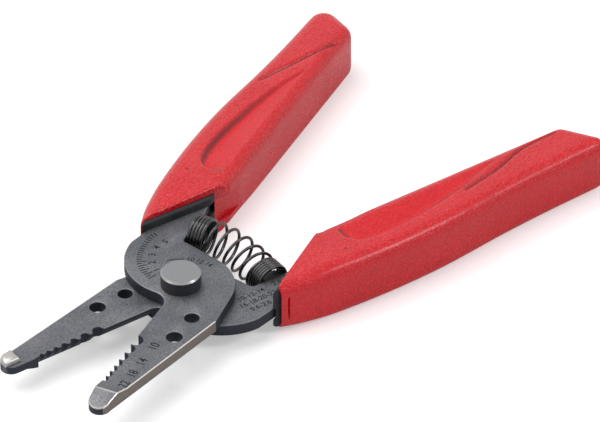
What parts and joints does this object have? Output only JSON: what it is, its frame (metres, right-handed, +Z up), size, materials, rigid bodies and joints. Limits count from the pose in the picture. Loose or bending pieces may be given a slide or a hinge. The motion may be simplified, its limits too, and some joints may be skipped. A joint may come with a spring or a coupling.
{
  "type": "wire stripper",
  "caption": "Hand wire stripper with two bypassing dark steel halves on a pivot, graded notches, loop holes, a coil return spring and red moulded grips, lying open.",
  "frame": {"origin": "middle of the open tool's box in plan, on the surface that its grips lie on", "axes": "+X from the jaws to the grips' ends, +Z up from the surface, pivot axis along Z"},
  "size_m": [0.1492, 0.0874, 0.0148],
  "materials": {
    "blade": "black-oxide, satin, finely blasted",
    "pivot": "dark satin steel",
    "spring": "gloss black",
    "liner": "matt black",
    "cover": "red, fine leather grain, soft sheen"
  },
  "bodies": {
    "lower_half": {"lower_blade": "blade", "lower_grip_core": "liner", "lower_grip_cover": "cover", "pivot_bolt": "pivot", "pivot_washer": "pivot", "pivot_nut": "pivot", "return_spring": "spring"},
    "upper_half": {"upper_blade": "blade", "upper_grip_core": "liner", "upper_grip_cover": "cover"}
  },
  "joints": [
    {"name": "pivot_hinge", "type": "hinge", "parent": "lower_half", "child": "upper_half", "pos_m": [-0.02871, 0, 0.0074], "axis": [0, 0, 1], "range_deg": [-29.4, 0], "stiffness_Nm_per_rad": 0.25, "springref_deg": 25.78, "deforming": ["return_spring"]}
  ]
}
